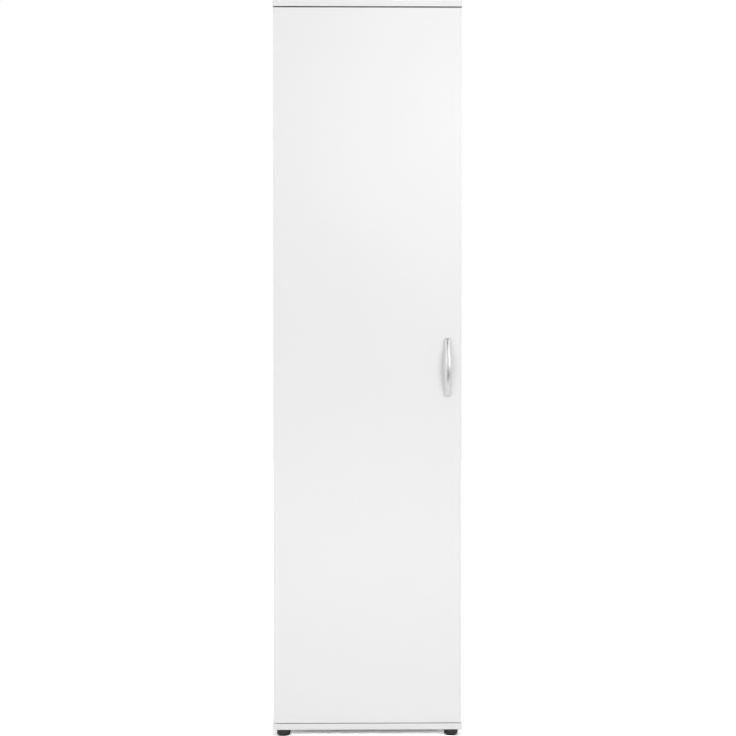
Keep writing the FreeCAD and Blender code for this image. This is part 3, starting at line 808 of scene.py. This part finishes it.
def add_sunk_fasteners(small):
    """The blocks, wedges and back sheet with their holes, and the screws and nails in them."""
    nail = nail_head()
    wells, nails, rear = sunk_screws(), support_nails(), back_nails()
    blocks = drilled("joint_blocks_drilled", "joint_blocks", wells, WELL_HOLE,
                     WHITE_PLASTIC)
    wedges = drilled("shelf_supports_drilled", "shelf_supports", nails, WEDGE_HOLE,
                     WHITE_PLASTIC)
    for obj in (blocks, wedges):
        add_bevel(obj, PLASTIC_BEVEL)
    drilled("back_sheet", "back_panel", rear, BACK_HOLE, FIBREBOARD)
    for name, head, places in (("joint_block_screws", small, wells),
                               ("support_nails", nail, nails), ("back_nails", nail, rear)):
        add_heads(name, head, places, "carcass", ZINC)


# ---------------------------------------------------------------- finishes of the CAD nodes
WELD_DISTANCE = 0.01 * MM
BOARD_BEVEL = 0.6 * MM
PLATE_BEVEL = 0.4 * MM
SMALL_BEVEL = 0.3 * MM
ROUNDED_BOARDS = ("top_panel", "bottom_panel", "door_panel")   # their solids have round edges
SHARP_BOARDS = ("left_side_panel", "right_side_panel", "hat_shelf", "centre_divider",
                *SHELF_NODES)


def dress(node_name, material, bevel=None):
    """Gives a CAD node its material and, where it has sharp edges, a fine bevel."""
    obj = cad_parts[node_name]
    obj.data.materials.clear()
    obj.data.materials.append(material)
    if bevel is not None:
        weld = obj.modifiers.new("weld", "WELD")
        weld.merge_threshold = WELD_DISTANCE
        add_bevel(obj, bevel)


def dress_frame():
    """Finishes every CAD node, those that a piece stands for included."""
    for name in ROUNDED_BOARDS:
        dress(name, melamine(name))
    for name in SHARP_BOARDS:
        dress(name, melamine(name), BOARD_BEVEL)
    dress("back_panel", FIBREBOARD)
    for name in ("joint_blocks", "shelf_supports"):
        dress(name, WHITE_PLASTIC)
    dress("feet", FOOT_BLACK)
    dress("bow_handle", SATIN)
    dress("door_bumpers", felt(), SMALL_BEVEL)
    for name in BRACKET_NODES:
        dress(name, ZINC, SMALL_BEVEL)
    for name in PLATE_NODES:
        dress(name, NICKEL, PLATE_BEVEL)
    for name in ("hinge_cups", "outer_links", "inner_links", "hinge_arms"):
        dress(name, NICKEL)


# ---------------------------------------------------------------- floor, light and camera
def floor_painted_light(shader, across, along):
    """Painted light: how many times lighter than its light makes it the camera sees the floor."""
    off_x, off_y = (shader.math("SUBTRACT", shader.math("ABSOLUTE", way), reach)
                    for way, reach in ((across, BACK_HIGH.x), (along, BACK_HIGH.y)))
    off = shader.math("MAXIMUM", off_x, off_y)
    below_x, below_y = FLOOR_BELOW
    below = shader.product(shader.band(across, *below_x, FLOOR_BELOW_SOFT),
                           shader.band(along, *below_y, FLOOR_BELOW_SOFT),
                           shader.ramp(along, *FLOOR_FRONT, low=FLOOR_BELOW_PAINTED_LIGHT - 1.0,
                                       high=FLOOR_BELOW_PAINTED_LIGHT * FLOOR_FRONT_PAINTED_LIGHT - 1.0))
    return shader.product(shader.ramp(off, *FLOOR_NEAR, *FLOOR_PAINTED_LIGHT),
                          shader.math("ADD", below, 1.0))


def floor_mirrored(shader, across, along):
    """Painted reflection: how much lighter or darker than it is reflections see the floor."""
    dark = shader.product(shader.ramp(across, *MIRRORED_LEFT),
                          shader.ramp(across, *MIRRORED_RIGHT),
                          shader.ramp(along, *MIRRORED_END))
    return shader.product(shader.ramp(dark, 0.0, 1.0, 1.0, MIRRORED_SHARE),
                          shader.ramp(along, *MIRRORED_NEAR, *MIRRORED_LEVELS))


def add_floor():
    """A white floor that keeps the cupboard's shadow, lifted by painted light under the cupboard,
    and meets the white background.
    """
    mesh = mesh_from("floor", lambda shape: bmesh.ops.create_grid(shape, size=FLOOR_SIZE / 2))
    floor = bpy.data.objects.new("floor", mesh)
    bpy.context.scene.collection.objects.link(floor)
    shader = Shader("floor_paint")
    across, along = shader.along(RIGHTWARDS), shader.along(REARWARDS)
    tone = shader.mix(shader.noise(scale=3.0, detail=2.0), FLOOR_WHITE - FLOOR_MOTTLE,
                      FLOOR_WHITE + FLOOR_MOTTLE)
    shader.finish(Base_Color=shader.mix(shader.ramp(along, *FLOOR_END), tone, FLOOR_END_TONE),
                  Roughness=FLOOR_ROUGHNESS, Specular_IOR_Level=FLOOR_SPECULAR)
    rays = shader.tree.nodes.new("ShaderNodeLightPath").outputs
    level = shader.blend(rays["Is Glossy Ray"], floor_painted_light(shader, across, along),
                         floor_mirrored(shader, across, along))
    seen = shader.add("ShaderNodeBsdfDiffuse", Color=shader.scaled(tone, level))
    glow = shader.add("ShaderNodeEmission", Strength=FLOOR_GLOW)
    both = shader.tree.nodes.new("ShaderNodeAddShader")
    for socket, part in zip(both.inputs, (seen, glow)):
        shader.put(socket, part.outputs[0])
    watched = shader.math("MAXIMUM", rays["Is Camera Ray"], rays["Is Glossy Ray"])
    choice = shader.choose(watched, shader.surface.outputs[0], both.outputs[0])
    shader.put(shader.tree.nodes["Material Output"].inputs["Surface"], choice)
    mesh.materials.append(shader.material)


def add_world():
    """Soft light from all round and above; what looks past the cupboard sees plain white."""
    shader = Shader("studio", bpy.data.worlds, "Background", "Generated")
    bpy.context.scene.world = shader.material
    rays = shader.tree.nodes.new("ShaderNodeLightPath").outputs
    light = shader.ramp(shader.along(SKY_WAY), *SKY_EDGE, WORLD_LIGHT, SKY_LIGHT)
    sheen = WALL_SHEEN
    for across, up, share in SHEEN_PANELS:
        inside = shader.product(shader.band(shader.along(RIGHTWARDS), *across, PANEL_SOFT),
                                shader.band(shader.along(UP), *up, PANEL_SOFT))
        sheen = shader.product(sheen, shader.ramp(inside, 0.0, 1.0, 1.0, share))
    shader.put(shader.surface.inputs["Strength"], light)
    shader.put(shader.surface.inputs["Color"], colour(1.0))
    surface = shader.surface.outputs[0]
    for ray, strength in (("Is Glossy Ray", sheen), ("Is Camera Ray", 1.0),
                          ("Is Transmission Ray", 1.0)):
        seen = shader.add("ShaderNodeBackground", Strength=strength, Color=colour(1.0))
        surface = shader.choose(rays[ray], surface, seen.outputs[0])
    shader.put(shader.tree.nodes["World Output"].inputs["Surface"], surface)


def add_lamp(name, place, target, width, height, power, spread):
    """An area lamp that lights the cupboard and stays out of its reflections."""
    data = bpy.data.lights.new(name, "AREA")
    data.shape = "RECTANGLE"
    data.size, data.size_y = width, height
    data.energy = power
    data.spread = math.radians(spread)
    lamp = bpy.data.objects.new(name, data)
    bpy.context.scene.collection.objects.link(lamp)
    lamp.visible_glossy = False
    lamp.location = place
    way = Vector(target) - Vector(place)
    lamp.rotation_euler = way.to_track_quat("-Z", "Y").to_euler()


def add_camera():
    data = bpy.data.cameras.new("camera")
    data.sensor_width = SENSOR_MM
    data.lens = FOCAL_PIXELS * SENSOR_MM / FRAME_PIXELS
    data.dof.use_dof = False
    camera = bpy.data.objects.new("camera", data)
    bpy.context.scene.collection.objects.link(camera)
    ahead = Vector((math.sin(CAMERA_YAW) * math.cos(CAMERA_PITCH),
                    math.cos(CAMERA_YAW) * math.cos(CAMERA_PITCH), math.sin(CAMERA_PITCH)))
    level = Vector((math.cos(CAMERA_YAW), -math.sin(CAMERA_YAW), 0))
    above = level.cross(ahead)
    right = level * math.cos(CAMERA_ROLL) + above * math.sin(CAMERA_ROLL)
    up = above * math.cos(CAMERA_ROLL) - level * math.sin(CAMERA_ROLL)
    turn = Matrix((right, up, -ahead)).transposed()
    place = Vector((CAMERA_X, DOOR_LOW.y - CAMERA_DISTANCE, CAMERA_Z))
    camera.matrix_world = Matrix.Translation(place) @ turn.to_4x4()
    bpy.context.scene.camera = camera


# ---------------------------------------------------------------- the scene
dress_frame()
add_handle()
add_feet()
small_head, large_head = (cross_recess_screw(*size) for size in (SMALL_SCREW, LARGE_SCREW))
add_hinge_screws(small_head, large_head)
add_fitting_screws(small_head, large_head)
add_sunk_fasteners(small_head)
add_floor()
add_world()
for lamp_name, lamp_values in LAMPS.items():
    add_lamp(lamp_name, *lamp_values)
add_camera()

bpy.context.scene.view_settings.view_transform = "Standard"
